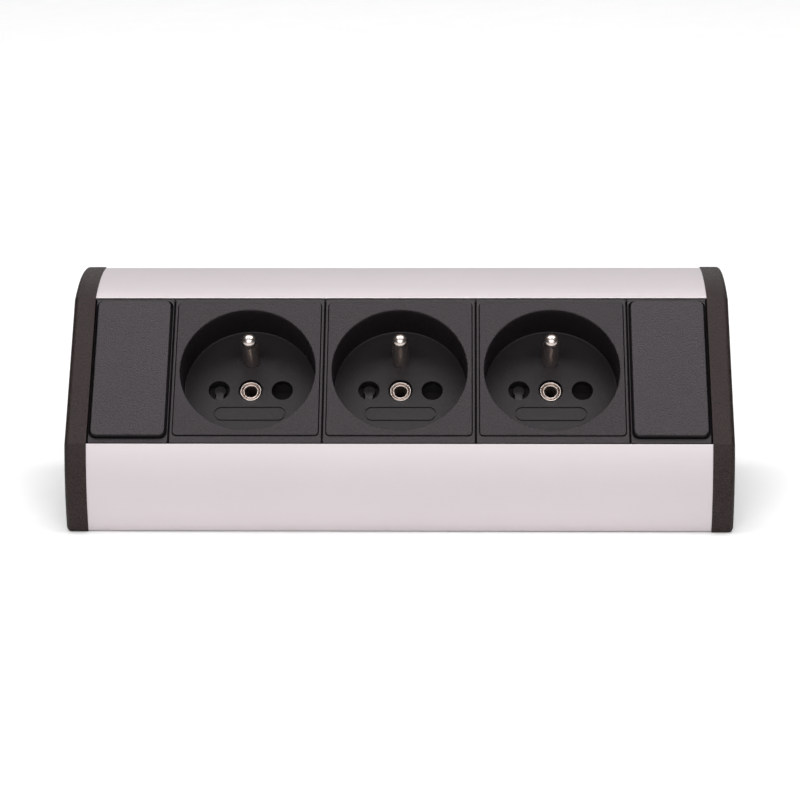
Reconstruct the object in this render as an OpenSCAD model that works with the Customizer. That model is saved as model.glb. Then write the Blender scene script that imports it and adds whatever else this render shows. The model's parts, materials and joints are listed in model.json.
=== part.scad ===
// Corner power strip: an aluminium section with a curved front and a flat slanted face.
// Three earthed two-pin sockets stand in the slanted face, between two blank modules.
// X runs along the strip, -Y is the front and +Z is up.
// The origin is the middle of the underside, and the back and the underside are flat for fixing.

/* [Section] */
// Depth of the strip, which is also its height
strip_depth = 64.2; // [63.2:0.5:66.2]
// Distance from the back, and from the underside, to the centre of the front curve
arc_inset = 9; // [8:0.5:10]
// Width of the slanted face between its two metal edges
face_width = 48.9; // [48.4:0.1:49.4]
// Wall thickness of the aluminium section
skin = 2; // [1.8:0.1:2.2]
// Depth of the step that the modules sit in
seat_depth = 2.2; // [2:0.1:2.6]
// Thickness of the rails under the modules
rail_thickness = 2.2; // [1.8:0.1:2.4]

/* [End caps] */
// Thickness of the part of an end cap that shows
cap_length = 6.5; // [6:0.5:8]
// Height of a cap's rim above the aluminium, all the way round
cap_rim = 0.3; // [0.2:0.1:0.6]
// Rounding of a cap's outer edge
cap_round = 1.6; // [1:0.1:2]
// Depth of the rib that plugs into the section
cap_rib = 4; // [3:0.5:4]

/* [Modules] */
// Width of a socket module
socket_width = 45; // [44.8:0.1:46]
// Width of a blank module
blank_width = 24; // [23.5:0.1:25]
// Gap between two neighbouring modules
module_gap = 0.3; // [0.2:0.05:0.4]
// Strip of frame below a panel, measured from the metal edge
margin_below = 2.85; // [2.65:0.1:3.05]
// Strip of frame above a panel, measured from the metal edge
margin_above = 1.85; // [1.65:0.1:2.05]
// Height of a socket panel above its frame
panel_raise = 0.6; // [0.4:0.1:0.8]
// Height of a blank cover above its frame
cover_raise = 1.3; // [1:0.1:1.5]

/* [Socket] */
// Diameter of the recess that takes the plug
recess_diameter = 40; // [39.6:0.1:40.2]
// Depth of the recess floor below the frame
recess_depth = 13.2; // [12.8:0.1:13.6]
// Spacing of the two live holes
live_spacing = 19; // [18.8:0.1:19.2]
// Diameter of the live holes
live_hole = 6.2; // [5.6:0.1:6.4]
// Height of the earth pin above the line of the live holes
earth_rise = 10; // [9.8:0.1:10.2]
// Diameter of the earth pin
earth_diameter = 4.8; // [4.6:0.1:5]
// Length of the earth pin above the recess floor
earth_length = 14.5; // [13:0.5:15]
// Travel of the safety shutter
shutter_travel = 6.6; // [6.4:0.1:6.8]

/* [Fixing] */
// Diameter of the fixing holes in the back and the underside
fixing_hole = 4.5; // [4:0.1:5]
// Distance from the back, and from the underside, to the fixing holes
fixing_reach = 44; // [43:0.5:45]
// Bore of the cable inlet grommet
inlet_bore = 8.4; // [7.6:0.1:8.6]
// Height of the cable inlet above the underside
inlet_height = 20; // [19:0.5:21]

/* [Hidden] */
$fn = 64;

// Clearances between pieces
slide_gap = 0.1;
seat_gap = 0.05;

// Places along the strip
socket_places = [-socket_width, 0, socket_width];
section_length = 3 * socket_width + 2 * blank_width;
blank_place = (section_length - blank_width) / 2;
half_depth = strip_depth / 2;
metal_back = half_depth - cap_rim;
metal_base = cap_rim;

// The cap outline is one arc, cut by the slanted face
outline_radius = strip_depth - arc_inset;
metal_radius = outline_radius - cap_rim;
arc_y = half_depth - arc_inset;
arc_z = arc_inset;
face_distance = sqrt(pow(metal_radius, 2) - pow(face_width / 2, 2));
face_y = arc_y - face_distance / sqrt(2);
face_z = arc_z + face_distance / sqrt(2);

// Levels below the slanted face, measured along its outward normal
rail_floor = -seat_depth - rail_thickness;
floor_level = -recess_depth;
floor_thickness = 2;
floor_back = floor_level - floor_thickness;
shutter_top = floor_back - 0.4;
shutter_floor = shutter_top - 6.2;
shutter_bar_low = -7.4;
spring_end = -12.1 - shutter_travel;
cavity_floor = shutter_floor - 0.3;
contact_floor = cavity_floor - 11.5;
base_floor = contact_floor + 0.1;
bar_top = contact_floor - 0.85;
bar_thickness = 0.8;

// Modules
lip_height = face_width - 0.2;
frame_height = lip_height - 0.7;
frame_floor = -seat_depth + slide_gap;
rail_window = 43.2;
panel_height = face_width - margin_below - margin_above;
panel_rise = (margin_below - margin_above) / 2;
socket_panel_width = socket_width - 2.3;
blank_panel_width = blank_width - 2.3;
socket_panel_gap = 0.3;
cover_gap = 0.5;
cover_height = panel_height + 0.4;
cover_rise = panel_rise - 0.2;
panel_depth = 1.4;
clip_floor = rail_floor - 2.1;
clip_thickness = 2.5;
cup_wall = 1.2;
cup_radius = recess_diameter / 2 + cup_wall;
live_x = live_spacing / 2;

// Live parts
contact_bore = 4.9;
contact_wall = 0.7;
contact_radius = contact_bore / 2 + contact_wall;
chamber_radius = contact_radius + 0.5;
flange_radius = chamber_radius + 0.7;
rivet_bore = 3.3;
rivet_rim = 6.4;
rivet_radius = 2.1;
rivet_sink = 0.6;
rivet_pocket = 1.3;
earth_tail = 1.8;
nose_radius = 2.1;
nose_curve = 2.5;
nose_centre = floor_level + earth_length - nose_curve;
nose_foot = nose_centre + sqrt(nose_curve * nose_curve - nose_radius * nose_radius);
bar_width = 3.8;
live_bar_rise = 5.3;
earth_bar_rise = 10.8;
bar_end = section_length / 2 - blank_width;

// Screw ports for the caps, as distances from the back and from the underside
port_near = 5.8;
port_far = strip_depth - 6.4;
port_places = [[port_near, port_far], [port_far, port_near], [port_near, port_near]];
port_turns = [225, 45, 135];
port_radius = 4.2;
port_bore = 1.45;
screw_length = 14;
cap_screw_hole = 1.9;
cap_screw_head = 3.2;
countersink = 2;

// Terminal block in the left bay
block_size = [15.6, 16, 11];
block_place = [-blank_place, 6.5, metal_base + skin + slide_gap];
pole_pitch = 5.2;
pole_rise = 5.2;
clamp_radius = 2.25;
clamp_screw_offset = 4;
clamp_screw_radius = 1.2;
clamp_screw_head = 1.8;
wire_radius = 1.4;

// Bonding point in the right bay
bonding_y = 6;
lug_level = metal_base + skin + slide_gap;
lug_thickness = 0.8;
lug_barrel = 1.9;
bonding_thread = 2;

// Grommet of the cable inlet
grommet_neck = inlet_bore / 2 + 1.75;

// ---- Places and shared shapes ----

// Puts children on the slanted face: X along the strip, Y up the slope, Z outwards
module on_face(x = 0) {
    translate([x, face_y, face_z]) rotate([45, 0, 0]) children();
}

// The same place in the flat drawing of the section
module in_section_face() {
    translate([face_y, face_z]) rotate(45) children();
}

// Extrudes a flat drawing of the section along the strip, from X = 0
module along_strip(length) {
    rotate([90, 0, 90]) linear_extrude(length) children();
}

// Turns a shape that stands on its Z axis to point along +X, or along +Y, of the strip
module towards_x() { rotate([0, 90, 0]) children(); }
module towards_back() { rotate([-90, 0, 0]) children(); }

module rounded_rectangle(width, height, radius) {
    square([width - 2 * radius, height], center = true);
    square([width, height - 2 * radius], center = true);
    for (x = [-1, 1], y = [-1, 1])
        translate([x * (width / 2 - radius), y * (height / 2 - radius)]) circle(radius);
}

// A flat plate between two levels
module plate(width, height, radius, low, high) {
    translate([0, 0, low]) linear_extrude(high - low) rounded_rectangle(width, height, radius);
}

// A box between two corners
module block(low, high) {
    translate(low) cube(high - low);
}

// A bore or a rod between two levels
module rod(radius, low, high) {
    translate([0, 0, low]) cylinder(h = high - low, r = radius);
}

// The strip's cross-section, drawn in from its outline by an inset
module section(radius, inset, face_level) {
    reach = 2 * strip_depth;
    intersection() {
        translate([arc_y, arc_z]) circle(radius, $fn = 128);
        translate([half_depth - inset - reach, inset]) square(reach);
        in_section_face() translate([-reach, face_level - reach]) square([2 * reach, reach]);
    }
}

// A round tube swept along a path: a list of [point, direction], with one fixed side vector
module swept_tube(path, radius, side) {
    sides = 8;
    last = len(path) - 1;
    corners = [for (p = path, k = [0 : sides - 1])
        let (
            first = unit(cross(p[1], side)),
            second = unit(cross(p[1], first)),
            turn = 360 * k / sides
        )
        p[0] + radius * (cos(turn) * first + sin(turn) * second)
    ];
    walls = [for (ring = [0 : last - 1], k = [0 : sides - 1], half = [0, 1])
        let (a = ring * sides + k, b = ring * sides + (k + 1) % sides)
        half == 0 ? [a, b, b + sides] : [a, b + sides, a + sides]
    ];
    start = [[for (k = [sides - 1 : -1 : 0]) k]];
    end = [[for (k = [0 : sides - 1]) last * sides + k]];
    polyhedron(corners, concat(walls, start, end));
}

function unit(v) = v / norm(v);
function bezier(p, t) =
    pow(1 - t, 3) * p[0] + 3 * pow(1 - t, 2) * t * p[1] + 3 * (1 - t) * t * t * p[2] + pow(t, 3) * p[3];
function bezier_way(p, t) =
    unit(pow(1 - t, 2) * (p[1] - p[0]) + 2 * (1 - t) * t * (p[2] - p[1]) + t * t * (p[3] - p[2]));

// An insulated wire along two cubic curves, the second starting where the first ends
module wire(first, second, side) {
    steps = 12;
    path = concat(
        [for (i = [0 : steps]) [bezier(first, i / steps), bezier_way(first, i / steps)]],
        [for (i = [1 : steps]) [bezier(second, i / steps), bezier_way(second, i / steps)]]
    );
    swept_tube(path, wire_radius, side);
}

// ---- Housing and end caps ----

module ports(radius) {
    for (place = port_places) translate([half_depth - place[0], place[1]]) circle(radius);
}

// Slots that open the ports towards the middle, as an extruded screw port has
module port_slots() {
    slot = 1.2;
    for (i = [0 : 2])
        translate([half_depth - port_places[i][0], port_places[i][1]])
            rotate(port_turns[i]) translate([0, -slot / 2]) square([port_radius + 2, slot]);
}

module housing_section() {
    window_depth = 30;
    difference() {
        section(metal_radius, cap_rim, 0);
        difference() {
            section(metal_radius - skin, cap_rim + skin, rail_floor);
            ports(port_radius);
        }
        in_section_face() translate([-rail_window / 2, -window_depth])
            square([rail_window, window_depth + seat_depth]);
        in_section_face() translate([-lip_height / 2, -seat_depth]) square([lip_height, 2 * seat_depth]);
        ports(port_bore);
        port_slots();
    }
}

module housing_profile() {
    color([0.84, 0.82, 0.83])
    difference() {
        translate([-section_length / 2, 0, 0]) along_strip(section_length) housing_section();
        for (x = [-blank_place, blank_place]) {
            translate([x, metal_back - 2 * skin, fixing_reach])
                towards_back() cylinder(h = 3 * skin, d = fixing_hole);
            translate([x, half_depth - fixing_reach, -skin]) cylinder(h = 4 * skin, d = fixing_hole);
        }
        translate([-blank_place, metal_back - 2 * skin, inlet_height])
            towards_back() cylinder(h = 3 * skin, r = grommet_neck + seat_gap);
        translate([blank_place, bonding_y, 0]) rod(bonding_thread + seat_gap, metal_base + 0.5, 2 * skin);
    }
}

// A disc with its far edge rounded, standing on Z = 0
module rounded_disc(radius, height, edge) {
    rotate_extrude($fn = 128) {
        square([radius, height - edge]);
        square([radius - edge, height]);
        translate([radius - edge, height - edge]) circle(edge);
    }
}

// A slab below Z = 0 with its far edge along X rounded
module rounded_slab() {
    reach = 2 * strip_depth;
    rotate([90, 0, 0]) linear_extrude(2 * reach, center = true) {
        translate([0, -reach]) square([cap_length, reach - cap_round]);
        translate([0, -reach]) square([cap_length - cap_round, reach]);
        translate([cap_length - cap_round, -cap_round]) circle(cap_round);
    }
}

module cap_shell() {
    intersection() {
        along_strip(cap_length) section(outline_radius, 0, cap_rim);
        translate([0, arc_y, arc_z]) towards_x() rounded_disc(outline_radius, cap_length, cap_round);
        on_face() translate([0, 0, cap_rim]) rounded_slab();
        mirror([0, 0, 1]) rounded_slab();
        translate([0, half_depth, 0]) rotate([-90, 0, 0]) rounded_slab();
    }
}

// The rib that plugs into the section, clear of the ports and of the modules
module cap_plug() {
    wall = 1.5;
    outer = skin + 0.2;
    inner = outer + wall;
    clear_width = 54;
    clear_depth = 20;
    translate([-cap_rib, 0, 0]) along_strip(cap_rib) difference() {
        section(metal_radius - outer, cap_rim + outer, rail_floor - 1);
        section(metal_radius - inner, cap_rim + inner, rail_floor - 3);
        in_section_face() translate([-clear_width / 2, -clear_depth]) square([clear_width, 2 * clear_depth]);
        ports(port_radius + 0.6);
    }
}

module end_cap_right() {
    color([0.2, 0.19, 0.19])
    translate([section_length / 2, 0, 0])
    difference() {
        union() {
            cap_shell();
            cap_plug();
        }
        for (place = port_places)
            translate([0, half_depth - place[0], place[1]]) towards_x() {
                rod(cap_screw_hole, -cap_rib - 1, cap_length + 1);
                translate([0, 0, cap_length - countersink])
                    cylinder(h = countersink + 0.01, r1 = cap_screw_hole, r2 = cap_screw_head + 0.2);
            }
    }
}

module left_end_cap() mirror([1, 0, 0]) end_cap_right();
module right_end_cap() end_cap_right();

// A cross recess, sunk from a level to a depth below it
module cross_recess(half_width, half_slot, level, depth) {
    for (turn = [0, 90]) rotate(turn)
        block([-half_width, -half_slot, level - depth], [half_width, half_slot, level + 1]);
}

module cap_screws_right() {
    head = countersink - slide_gap;
    color([0.6, 0.6, 0.62])
    translate([section_length / 2, 0, 0])
    for (place = port_places)
        translate([0, half_depth - place[0], place[1]]) towards_x() difference() {
            union() {
                rod(port_bore - seat_gap, -screw_length, cap_length - head);
                translate([0, 0, cap_length - countersink])
                    cylinder(h = head, r1 = cap_screw_hole - slide_gap, r2 = cap_screw_head);
            }
            cross_recess(1.7, 0.35, cap_length - slide_gap, 1.3);
        }
}

module left_cap_screws() mirror([1, 0, 0]) cap_screws_right();
module right_cap_screws() cap_screws_right();

// ---- Socket module ----

// A block between any two opposite corners
module span_block(a, b) {
    low = [min(a[0], b[0]), min(a[1], b[1]), min(a[2], b[2])];
    high = [max(a[0], b[0]), max(a[1], b[1]), max(a[2], b[2])];
    block(low, high);
}

// A snap clip that reaches under the upper (1) or lower (-1) rail, between two places along X
module rail_clip(from, to, up) {
    root = rail_window / 2 - slide_gap;
    hook = rail_window / 2 + 1;
    back = root - clip_thickness;
    span_block([from, up * back, clip_floor], [to, up * root, frame_floor + 0.01]);
    span_block([from, up * back, clip_floor], [to, up * hook, rail_floor - slide_gap]);
}

module socket_frame(x) {
    color([0.25, 0.24, 0.25])
    on_face(x) {
        difference() {
            plate(socket_width - module_gap, frame_height, 0.4, frame_floor, 0);
            translate([0, panel_rise, 0])
                plate(socket_panel_width + 2 * socket_panel_gap, panel_height + 2 * socket_panel_gap, 1.3,
                    -panel_depth - seat_gap, 1);
            plate(2 * cup_radius + 0.1, 2 * cup_radius + 0.3, 1, -2 * seat_depth, 0);
        }
        for (side = [-1, 1], up = [-1, 1]) rail_clip(side * 14, side * 20, up);
    }
}

// Cross-section of the recess, with a rounded corner at the floor
module recess_drawing() {
    radius = recess_diameter / 2;
    fillet = 1;
    translate([0, floor_level + fillet]) square([radius, recess_depth + 2]);
    translate([0, floor_level]) square([radius - fillet, fillet + 1]);
    translate([radius - fillet, floor_level + fillet]) circle(fillet);
}

// A fine groove in the recess floor around the blank rating panel, as the solid it removes
module rating_groove() {
    width = 21.6;
    height = 4.7;
    groove_width = 0.4;
    groove_depth = 0.25;
    below_centre = 7.9;
    translate([0, -below_centre, floor_level - groove_depth]) linear_extrude(1)
        difference() {
            rounded_rectangle(width, height, height / 2 - 0.01);
            rounded_rectangle(width - 2 * groove_width, height - 2 * groove_width,
                height / 2 - groove_width - 0.01);
        }
}

module socket_face(x) {
    rim = recess_diameter / 2;
    rim_bevel = 0.3;
    panel_corner = 1.1;
    pocket_gap = 0.4;
    color([0.25, 0.24, 0.25])
    on_face(x)
    difference() {
        union() {
            translate([0, panel_rise, 0])
                plate(socket_panel_width, panel_height, panel_corner, -panel_depth, panel_raise);
            rod(cup_radius, floor_back, 0);
        }
        rotate_extrude($fn = 96) recess_drawing();
        translate([0, 0, panel_raise - rim_bevel])
            cylinder(h = rim_bevel + 0.01, r1 = rim - 0.01, r2 = rim + rim_bevel);
        rating_groove();
        for (side = [-1, 1]) translate([side * live_x, 0, 0]) rod(live_hole / 2, floor_back - 1, 0);
        translate([0, earth_rise, 0]) rod(earth_tail + seat_gap, floor_back - 1, 0);
        rod(rivet_radius + seat_gap, floor_back - 1, 0);
        rod(rivet_rim / 2 + pocket_gap, floor_level - rivet_pocket, 0);
    }
}

module socket_base(x) {
    half_width = 20.5;
    upper_side = 19;
    lower_side = spring_end - 1;
    shutter_room = [14, 4];
    shutter_clearance = 0.3;
    spring_room = 2;
    core_place = 13;
    upper_core = [4, 7, 16.5];
    lower_core = [5, -17, -6];
    core_cover = [3, 1.2];
    color([0.32, 0.31, 0.3])
    on_face(x)
    difference() {
        block([-half_width, lower_side, base_floor], [half_width, upper_side, floor_back - slide_gap]);
        // Room for the shutter and its spring
        block([-shutter_room[0], shutter_bar_low - shutter_clearance - shutter_travel, cavity_floor],
            [shutter_room[0], shutter_room[1], floor_back]);
        block([-spring_room, spring_end, cavity_floor], [spring_room, shutter_bar_low + 0.4, floor_back]);
        for (side = [-1, 1]) translate([side * live_x, 0, 0])
            rod(chamber_radius, base_floor - 1, cavity_floor + 1);
        translate([0, earth_rise, 0]) rod(earth_tail + slide_gap, base_floor - 1, floor_back);
        rod(rivet_radius + seat_gap, base_floor - 1, floor_back);
        // Cored pockets that keep the moulding's walls even
        for (side = [-1, 1]) {
            block([side * core_place - upper_core[0], upper_core[1], base_floor - 1],
                [side * core_place + upper_core[0], upper_core[2], floor_back - core_cover[0]]);
            block([side * core_place - lower_core[0], lower_core[1], base_floor - 1],
                [side * core_place + lower_core[0], lower_core[2], cavity_floor - core_cover[1]]);
        }
    }
}

// A shaft that stands on the recess floor, with a tail that is riveted to the earth bar
module earth_pin(x) {
    radius = earth_diameter / 2;
    taper = 0.9;
    foot = floor_level + 0.02;
    tail = bar_top - bar_thickness - 0.4;
    color([0.75, 0.73, 0.7])
    on_face(x) translate([0, earth_rise, 0])
    rotate_extrude() {
        polygon([
            [0, foot], [radius, foot], [radius, nose_foot - taper], [nose_radius, nose_foot], [0, nose_foot]
        ]);
        intersection() {
            translate([0, nose_centre]) circle(nose_curve);
            translate([0, nose_foot - 0.01]) square(nose_curve);
        }
        translate([0, tail]) square([earth_tail, foot - tail + 0.01]);
    }
}

module centre_rivet(x) {
    rim = rivet_rim / 2;
    rim_top = floor_level - rivet_sink;
    rim_back = floor_level - rivet_pocket + seat_gap;
    tail = base_floor - slide_gap;
    tail_rim = 2.9;
    color([0.78, 0.76, 0.72])
    on_face(x)
    difference() {
        rotate_extrude() polygon([
            [0.5, rim_top], [rim - 0.2, rim_top], [rim, rim_top - 0.2], [rim, rim_back],
            [rivet_radius, rim_back], [rivet_radius, tail], [tail_rim, tail],
            [tail_rim - 0.3, tail - 0.7], [0.5, tail - 0.7]
        ]);
        rod(rivet_bore / 2, tail - 2, 0);
        translate([0, 0, rim_top - 1.1]) cylinder(h = 1.11, r1 = rivet_bore / 2, r2 = rim - 0.6);
    }
}

// A split sleeve with a flange that the busbar lies on
module live_contact(x, side) {
    color([0.8, 0.65, 0.35])
    on_face(x) translate([side * live_x, 0, 0]) {
        difference() {
            rod(contact_radius, contact_floor, cavity_floor - 0.1);
            rod(contact_bore / 2, contact_floor - 1, cavity_floor + 1);
            block([-0.6, 0, contact_floor + 2], [0.6, 5, cavity_floor + 1]);
        }
        rod(flange_radius, contact_floor - 0.8, contact_floor);
    }
}

module line_contact(x) live_contact(x, -1);
module neutral_contact(x) live_contact(x, 1);

// Two pads and the bar that joins them, in front of the contacts. A round-ended tongue with a
// gentle slope fills the left hole, and the right pad is a plain steep slope set deeper.
module shutter(x) {
    pad_half = 3.8;
    pad_low = -4.4;
    pad_high = 3.4;
    pad_nose = 0.9;
    level_top = 2.2;
    steep_top = shutter_top - 1.4;
    tongue_base = shutter_top - 2.8;
    tongue_radius = 2.1;
    tongue_fall = 1.1;
    bar_drop = 2.6;
    color([0.35, 0.34, 0.34])
    on_face(x) {
        translate([live_x - pad_half, 0, 0])
            rotate([90, 0, 90]) linear_extrude(2 * pad_half) polygon([
                [pad_low, shutter_floor], [pad_high, shutter_floor], [pad_high, shutter_floor + pad_nose],
                [pad_low + level_top, steep_top], [pad_low, steep_top]
            ]);
        block([-live_x - pad_half, pad_low, shutter_floor], [-live_x + pad_half, pad_high, tongue_base]);
        translate([-live_x, 0, 0]) intersection() {
            translate([0, 0, tongue_base - 1]) linear_extrude(6) union() {
                translate([0, pad_high - tongue_radius]) circle(tongue_radius);
                translate([-tongue_radius, pad_low])
                    square([2 * tongue_radius, pad_high - tongue_radius - pad_low]);
            }
            translate([-5, 0, 0]) rotate([90, 0, 90]) linear_extrude(10) polygon([
                [pad_low - 1, tongue_base - 0.5], [pad_high + 1, tongue_base - 0.5],
                [pad_high + 1, shutter_top - tongue_fall * (pad_high + 1 - pad_low) / (pad_high - pad_low)],
                [pad_low, shutter_top], [pad_low - 1, shutter_top]
            ]);
        }
        block([-live_x - pad_half, shutter_bar_low, shutter_floor],
            [live_x + pad_half, pad_low, shutter_top - bar_drop]);
    }
}

module shutter_spring(x) {
    coils = 6;
    steps = 12;
    radius = 1.3;
    wire_thickness = 0.44;
    start = shutter_bar_low - 0.5;
    reach = 9.9;
    level = (shutter_floor + shutter_top) / 2 - 0.8;
    color([0.7, 0.7, 0.72])
    on_face(x) swept_tube([for (i = [0 : coils * steps])
        let (turn = 360 * i / steps, along = start - reach * i / (coils * steps))
        [
            [radius * cos(turn), along, level + radius * sin(turn)],
            unit([-2 * PI * radius * sin(turn), -reach / coils, 2 * PI * radius * cos(turn)])
        ]
    ], wire_thickness / 2, [0, 1, 0]);
}

// ---- Blank modules ----

module blank_frame(x) {
    opening = blank_panel_width + 2 * cover_gap;
    ledge = 1.2;
    half_window = rail_window / 2 - 0.8;
    color([0.25, 0.24, 0.25])
    on_face(x) {
        difference() {
            plate(blank_width - module_gap, frame_height, 0.4, frame_floor, 0);
            translate([0, cover_rise, 0])
                plate(opening, cover_height + 2 * cover_gap, 1.9, -panel_depth - slide_gap, 1);
            block([-opening / 2 + ledge, -half_window, -5], [opening / 2 - ledge, half_window, 1]);
        }
        for (up = [-1, 1]) rail_clip(-9.5, 9.5, up);
    }
}

// A thick plate with four legs that grip the clips of the frame
module blank_cover(x) {
    leg = [2.4, 1.2, 8];
    leg_x = blank_panel_width / 2 - 1.5;
    leg_y = rail_window / 2 - clip_thickness - 2 * slide_gap;
    color([0.27, 0.26, 0.27])
    on_face(x) {
        translate([0, cover_rise, 0])
            plate(blank_panel_width, cover_height, 1.7, -panel_depth, cover_raise);
        for (side = [-1, 1], up = [-1, 1])
            span_block(
                [side * leg_x, up * leg_y, -panel_depth + 0.01],
                [side * (leg_x - leg[0]), up * (leg_y - leg[1]), -panel_depth - leg[2]]
            );
    }
}

// ---- Busbars, terminals and wires ----

// A strip with one tab for each socket, reaching a contact's flange
module busbar(rise, side) {
    tab_half = 2;
    pad_radius = 2.6;
    low = bar_top - bar_thickness;
    color([0.8, 0.6, 0.35])
    on_face() {
        block([-bar_end, rise - bar_width / 2, low],
            [socket_width + side * live_x + tab_half, rise + bar_width / 2, bar_top]);
        for (x = socket_places) translate([x + side * live_x, 0, 0]) {
            span_block([-tab_half, 0, low], [tab_half, rise, bar_top]);
            rod(pad_radius, low, bar_top);
        }
    }
}

module line_busbar() busbar(live_bar_rise, -1);
module neutral_busbar() busbar(-live_bar_rise, 1);

module earth_busbar() {
    low = bar_top - bar_thickness;
    color([0.8, 0.6, 0.35])
    on_face() difference() {
        block([-bar_end, earth_bar_rise - 2.2, low], [bar_end, earth_bar_rise + 2.2, bar_top]);
        for (x = socket_places) translate([x, earth_rise, 0]) rod(earth_tail + seat_gap, low - 1, bar_top + 1);
    }
}

// Puts children at each pole of the terminal block, with Y along the pole
module at_poles() {
    for (pole = [-1, 0, 1])
        translate([block_place[0] + pole * pole_pitch, block_place[1], block_place[2] + pole_rise])
            children();
}

module terminal_block() {
    color([0.85, 0.85, 0.8])
    difference() {
        translate(block_place - [block_size[0] / 2, block_size[1] / 2, 0]) cube(block_size);
        at_poles() {
            rotate([90, 0, 0]) cylinder(h = 30, r = clamp_radius + seat_gap, center = true);
            at_clamp_screws() cylinder(h = 20, r = clamp_screw_head + slide_gap);
        }
    }
}

// Puts children at the two clamp screws of a pole
module at_clamp_screws() {
    for (y = [-1, 1]) translate([0, y * clamp_screw_offset, 0]) children();
}

module terminal_clamps() {
    color([0.8, 0.65, 0.35])
    at_poles() difference() {
        rotate([90, 0, 0]) cylinder(h = 13, r = clamp_radius, center = true);
        rotate([90, 0, 0]) cylinder(h = 20, r = wire_radius + seat_gap, center = true);
        at_clamp_screws() cylinder(h = 20, r = clamp_screw_radius + seat_gap);
    }
}

module terminal_screws() {
    color([0.7, 0.7, 0.72])
    at_poles() at_clamp_screws() difference() {
        union() {
            rod(clamp_screw_radius, 1.5, 3);
            rod(clamp_screw_head, 2.6, 5);
        }
        block([-3, -0.3, 4.2], [3, 0.3, 6]);
    }
}

// End of a busbar in the left bay
function bar_tip(rise) =
    let (level = bar_top - bar_thickness / 2)
    [-bar_end - 0.05, face_y + (rise - level) / sqrt(2), face_z + (rise + level) / sqrt(2)];

function pole_mouth(pole) =
    [block_place[0] + pole * pole_pitch, block_place[1] - 6.6, block_place[2] + pole_rise];

// A wire from a pole of the terminal block, up over the block and across to a busbar
module pole_wire(pole, rise, top, arrival) {
    from = pole_mouth(pole);
    over = [from[0], top[0], top[1]];
    to = bar_tip(rise);
    wire(
        [from, from + [0, -7, 0], over + [0, -9, 0], over],
        [over, over + [0, 5, 0], to + [-arrival, 0, 0], to],
        [1, 0, 0.01]
    );
}

module line_wire() color("saddlebrown") pole_wire(-1, live_bar_rise, [4, 22.4], 10);
module neutral_wire() color("royalblue") pole_wire(0, -live_bar_rise, [3, 18.2], 6);
module earth_wire() color("yellowgreen") pole_wire(1, earth_bar_rise, [4, 26], 4);

// A bush with its outer face flush with the back
module inlet_grommet() {
    flange = grommet_neck + 1.5;
    sleeve = grommet_neck - 0.6;
    behind = skin + slide_gap;
    inner_end = skin + 5;
    color([0.12, 0.12, 0.12])
    translate([-blank_place, metal_back, inlet_height]) rotate([90, 0, 0]) difference() {
        union() {
            rod(grommet_neck, 0, behind);
            rod(flange, behind, behind + 1.6);
            rod(sleeve, behind + 0.8, inner_end);
        }
        rod(inlet_bore / 2, -1, inner_end + 1);
    }
}

// A ring terminal with a crimped barrel
module bonding_lug() {
    ring = 4;
    tongue_half = 1.6;
    barrel_start = 5;
    barrel_length = 4;
    color([0.8, 0.8, 0.78])
    translate([blank_place, bonding_y, 0]) difference() {
        union() {
            rod(ring, lug_level, lug_level + lug_thickness);
            block([-tongue_half, 0, lug_level],
                [tongue_half, barrel_start + 2, lug_level + lug_thickness]);
            translate([0, barrel_start, lug_level + lug_barrel])
                towards_back() cylinder(h = barrel_length, r = lug_barrel);
        }
        rod(bonding_thread + slide_gap, 0, lug_level + 2 * lug_barrel);
        translate([0, barrel_start - 1, lug_level + lug_barrel])
            towards_back() cylinder(h = barrel_length + 3, r = wire_radius + seat_gap);
    }
}

module bonding_screw() {
    head = 3.5;
    head_base = lug_level + lug_thickness + slide_gap;
    head_top = head_base + 2.1;
    color([0.7, 0.7, 0.72])
    translate([blank_place, bonding_y, 0]) difference() {
        union() {
            rod(bonding_thread, metal_base + 0.7, head_base + 0.5);
            rod(head, head_base, head_top);
        }
        cross_recess(2, 0.4, head_top, 1.1);
    }
}

module bonding_wire() {
    from = [blank_place, bonding_y + 9.05, lug_level + lug_barrel];
    tip = bar_tip(earth_bar_rise);
    to = [-tip[0], tip[1], tip[2]];
    halfway = [blank_place - 2, (from[1] + to[1]) / 2 + 1, (from[2] + to[2]) / 2];
    color("yellowgreen") wire(
        [from, from + [0, 4, 0], halfway - [0, 0, 6], halfway],
        [halfway, halfway + [0, 0, 6], to + [8, 0, 0], to],
        [0.3, 1, 0]
    );
}

// ---- Assembly ----

left = socket_places[0];
middle = socket_places[1];
right = socket_places[2];

housing_profile();
left_end_cap();
right_end_cap();
left_cap_screws();
right_cap_screws();
socket_frame(left);  // left_socket_frame
socket_frame(middle);  // middle_socket_frame
socket_frame(right);  // right_socket_frame
socket_face(left);  // left_socket_face
socket_face(middle);  // middle_socket_face
socket_face(right);  // right_socket_face
socket_base(left);  // left_socket_base
socket_base(middle);  // middle_socket_base
socket_base(right);  // right_socket_base
earth_pin(left);  // left_earth_pin
earth_pin(middle);  // middle_earth_pin
earth_pin(right);  // right_earth_pin
centre_rivet(left);  // left_centre_rivet
centre_rivet(middle);  // middle_centre_rivet
centre_rivet(right);  // right_centre_rivet
line_contact(left);  // left_line_contact
line_contact(middle);  // middle_line_contact
line_contact(right);  // right_line_contact
neutral_contact(left);  // left_neutral_contact
neutral_contact(middle);  // middle_neutral_contact
neutral_contact(right);  // right_neutral_contact
shutter(left);  // left_shutter
shutter(middle);  // middle_shutter
shutter(right);  // right_shutter
shutter_spring(left);  // left_shutter_spring
shutter_spring(middle);  // middle_shutter_spring
shutter_spring(right);  // right_shutter_spring
blank_frame(-blank_place);  // left_blank_frame
blank_frame(blank_place);  // right_blank_frame
blank_cover(-blank_place);  // left_blank_cover
blank_cover(blank_place);  // right_blank_cover
line_busbar();
neutral_busbar();
earth_busbar();
terminal_block();
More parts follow.
